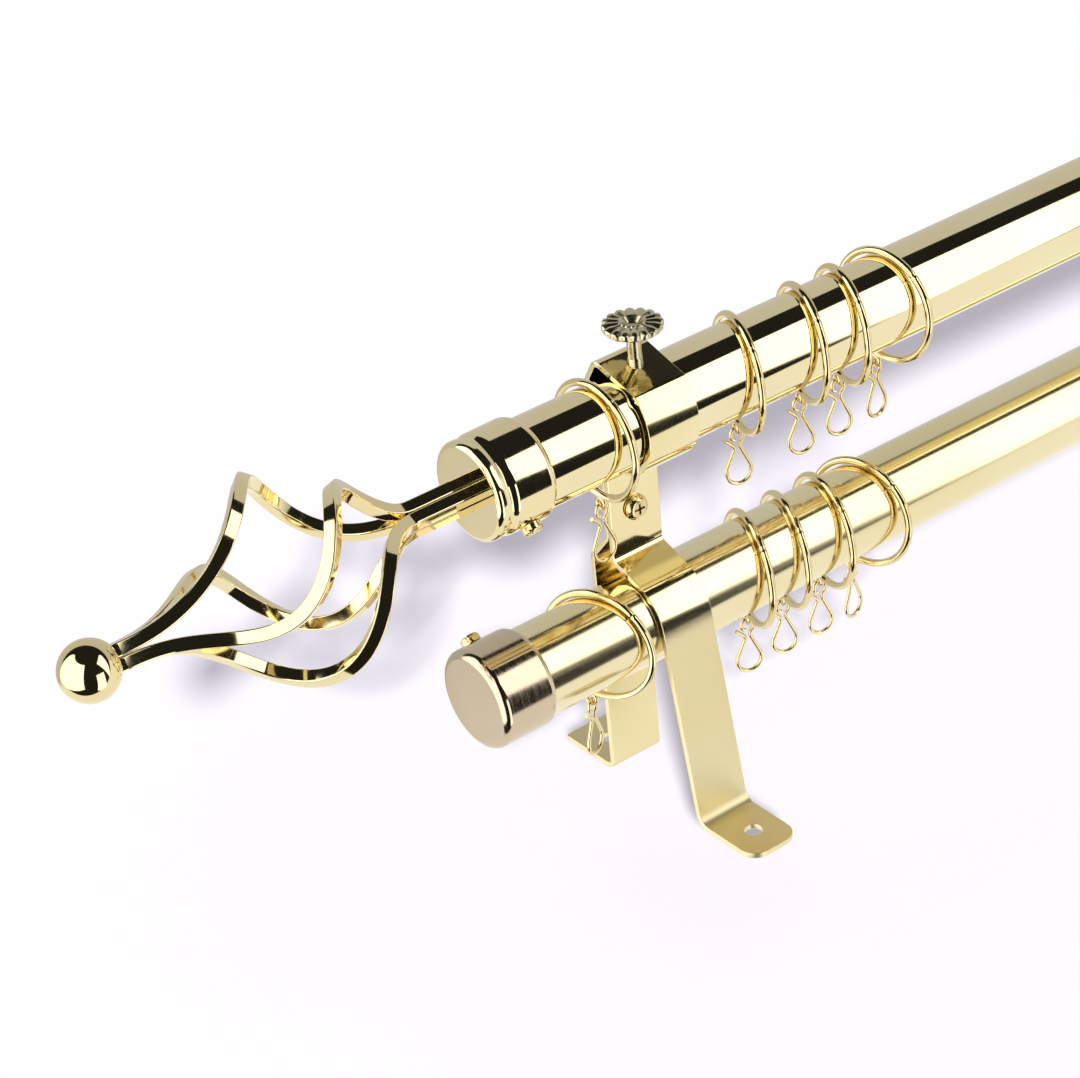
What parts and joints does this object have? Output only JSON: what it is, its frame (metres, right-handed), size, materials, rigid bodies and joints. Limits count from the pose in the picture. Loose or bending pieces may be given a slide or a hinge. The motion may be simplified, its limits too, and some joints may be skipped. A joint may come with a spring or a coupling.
{
  "type": "double curtain pole",
  "caption": "Double curtain pole set: two polished tubes in wall brackets of bent strip, twisted cage finials, end caps, and rings with wire hooks",
  "frame": {"origin": "centre of the rectangle of the wall screw holes, in the wall plane", "axes": "+X along the poles, +Z away from the wall plane, +Y across the poles; the rings hang along -Z as pictured"},
  "size_m": [0.9478, 0.0794, 0.1433],
  "materials": {
    "pole_brass": "bright brass electroplate on rolled steel tube, mirror polished",
    "finial_brass": "bright brass electroplate on turned and welded metal",
    "bracket_brass": "brass plated strip steel, satin bright",
    "cap_champagne": "champagne coloured plate, satin",
    "ring_brass": "brass plated round wire",
    "screw_brass": "brass plated small screw"
  },
  "bodies": {
    "pole_set": {"back_pole": "pole_brass", "bracket_left": "bracket_brass", "bracket_right": "bracket_brass", "cap_screw_left": "screw_brass", "cap_screw_right": "screw_brass", "clamp_nut_left": "screw_brass", "clamp_nut_right": "screw_brass", "clamp_screw_left": "screw_brass", "clamp_screw_right": "screw_brass", "end_cap_left": "cap_champagne", "end_cap_right": "cap_champagne", "finial_ball_left": "finial_brass", "finial_ball_right": "finial_brass", "finial_bar_left_1": "finial_brass", "finial_bar_left_2": "finial_brass", "finial_bar_left_3": "finial_brass", "finial_bar_left_4": "finial_brass", "finial_bar_right_1": "finial_brass", "finial_bar_right_2": "finial_brass", "finial_bar_right_3": "finial_brass", "finial_bar_right_4": "finial_brass", "finial_cup_left": "finial_brass", "finial_cup_right": "finial_brass", "finial_screw_left": "screw_brass", "finial_screw_right": "screw_brass", "front_pole": "pole_brass"},
    "thumbscrew_left": {"thumbscrew_left": "finial_brass"},
    "thumbscrew_right": {"thumbscrew_right": "finial_brass"},
    "front_ring_1": {"front_ring_1": "ring_brass"},
    "front_clip_1": {"front_clip_1": "ring_brass"},
    "front_ring_2": {"front_ring_2": "ring_brass"},
    "front_clip_2": {"front_clip_2": "ring_brass"},
    "front_ring_3": {"front_ring_3": "ring_brass"},
    "front_clip_3": {"front_clip_3": "ring_brass"},
    "front_ring_4": {"front_ring_4": "ring_brass"},
    "front_clip_4": {"front_clip_4": "ring_brass"},
    "front_ring_5": {"front_ring_5": "ring_brass"},
    "front_clip_5": {"front_clip_5": "ring_brass"},
    "back_ring_1": {"back_ring_1": "ring_brass"},
    "back_clip_1": {"back_clip_1": "ring_brass"},
    "back_ring_2": {"back_ring_2": "ring_brass"},
    "back_clip_2": {"back_clip_2": "ring_brass"},
    "back_ring_3": {"back_ring_3": "ring_brass"},
    "back_clip_3": {"back_clip_3": "ring_brass"},
    "back_ring_4": {"back_ring_4": "ring_brass"},
    "back_clip_4": {"back_clip_4": "ring_brass"},
    "back_ring_5": {"back_ring_5": "ring_brass"},
    "back_clip_5": {"back_clip_5": "ring_brass"}
  },
  "joints": [
    {"name": "thumbscrew_left_turn", "type": "hinge", "parent": "pole_set", "child": "thumbscrew_left", "pos_m": [-0.3, 0.00575, 0.139], "axis": [0, 0, 1], "range_deg": [0, 360]},
    {"name": "thumbscrew_right_turn", "type": "hinge", "parent": "pole_set", "child": "thumbscrew_right", "pos_m": [0.3, 0.00575, 0.139], "axis": [0, 0, 1], "range_deg": [0, 360]},
    {"name": "front_ring_1_slide", "type": "slide", "parent": "pole_set", "child": "front_ring_1", "axis": [1, 0, 0], "range_m": [-0.017, 0.0045]},
    {"name": "front_clip_1_swing", "type": "hinge", "parent": "front_ring_1", "child": "front_clip_1", "pos_m": [-0.3145, 0.00575, 0.0933], "axis": [0, 1, 0], "range_deg": [-20, 20]},
    {"name": "front_ring_2_slide", "type": "slide", "parent": "pole_set", "child": "front_ring_2", "axis": [1, 0, 0], "range_m": [-0.0185, 0.008]},
    {"name": "front_clip_2_swing", "type": "hinge", "parent": "front_ring_2", "child": "front_clip_2", "pos_m": [-0.26521, 0.00943, 0.09371], "axis": [0.309, 0.9511, 0], "range_deg": [-20, 20]},
    {"name": "front_ring_3_slide", "type": "slide", "parent": "pole_set", "child": "front_ring_3", "axis": [1, 0, 0], "range_m": [-0.008, 0.0035]},
    {"name": "front_clip_3_swing", "type": "hinge", "parent": "front_ring_3", "child": "front_clip_3", "pos_m": [-0.2428, 0.00943, 0.09371], "axis": [0.309, 0.9511, 0], "range_deg": [-20, 20]},
    {"name": "front_ring_4_slide", "type": "slide", "parent": "pole_set", "child": "front_ring_4", "axis": [1, 0, 0], "range_m": [-0.0035, 0.0015]},
    {"name": "front_clip_4_swing", "type": "hinge", "parent": "front_ring_4", "child": "front_clip_4", "pos_m": [-0.22893, 0.00947, 0.09371], "axis": [0.2756, 0.9613, 0], "range_deg": [-20, 20]},
    {"name": "front_ring_5_slide", "type": "slide", "parent": "pole_set", "child": "front_ring_5", "axis": [1, 0, 0], "range_m": [-0.0015, 0.5]},
    {"name": "front_clip_5_swing", "type": "hinge", "parent": "front_ring_5", "child": "front_clip_5", "pos_m": [-0.2149, 0.0096, 0.09371], "axis": [-0.1045, 0.9945, 0], "range_deg": [-20, 20]},
    {"name": "back_ring_1_slide", "type": "slide", "parent": "pole_set", "child": "back_ring_1", "axis": [1, 0, 0], "range_m": [-0.0115, 0.003]},
    {"name": "back_clip_1_swing", "type": "hinge", "parent": "back_ring_1", "child": "back_clip_1", "pos_m": [-0.32045, 0.00934, 0.03321], "axis": [-0.3746, 0.9272, 0], "range_deg": [-20, 20]},
    {"name": "back_ring_2_slide", "type": "slide", "parent": "pole_set", "child": "back_ring_2", "axis": [1, 0, 0], "range_m": [-0.018, 0.0025]},
    {"name": "back_clip_2_swing", "type": "hinge", "parent": "back_ring_2", "child": "back_clip_2", "pos_m": [-0.26541, 0.00943, 0.03321], "axis": [0.309, 0.9511, 0], "range_deg": [-20, 20]},
    {"name": "back_ring_3_slide", "type": "slide", "parent": "pole_set", "child": "back_ring_3", "axis": [1, 0, 0], "range_m": [-0.0025, 0.0025]},
    {"name": "back_clip_3_swing", "type": "hinge", "parent": "back_ring_3", "child": "back_clip_3", "pos_m": [-0.25231, 0.00943, 0.03321], "axis": [0.309, 0.9511, 0], "range_deg": [-20, 20]},
    {"name": "back_ring_4_slide", "type": "slide", "parent": "pole_set", "child": "back_ring_4", "axis": [1, 0, 0], "range_m": [-0.0025, 0.0015]},
    {"name": "back_clip_4_swing", "type": "hinge", "parent": "back_ring_4", "child": "back_clip_4", "pos_m": [-0.2387, 0.00953, 0.03321], "axis": [0.2079, 0.9781, 0], "range_deg": [-20, 20]},
    {"name": "back_ring_5_slide", "type": "slide", "parent": "pole_set", "child": "back_ring_5", "axis": [1, 0, 0], "range_m": [-0.0015, 0.509]},
    {"name": "back_clip_5_swing", "type": "hinge", "parent": "back_ring_5", "child": "back_clip_5", "pos_m": [-0.2263, 0.00953, 0.03321], "axis": [-0.2079, 0.9781, 0], "range_deg": [-20, 20]}
  ]
}
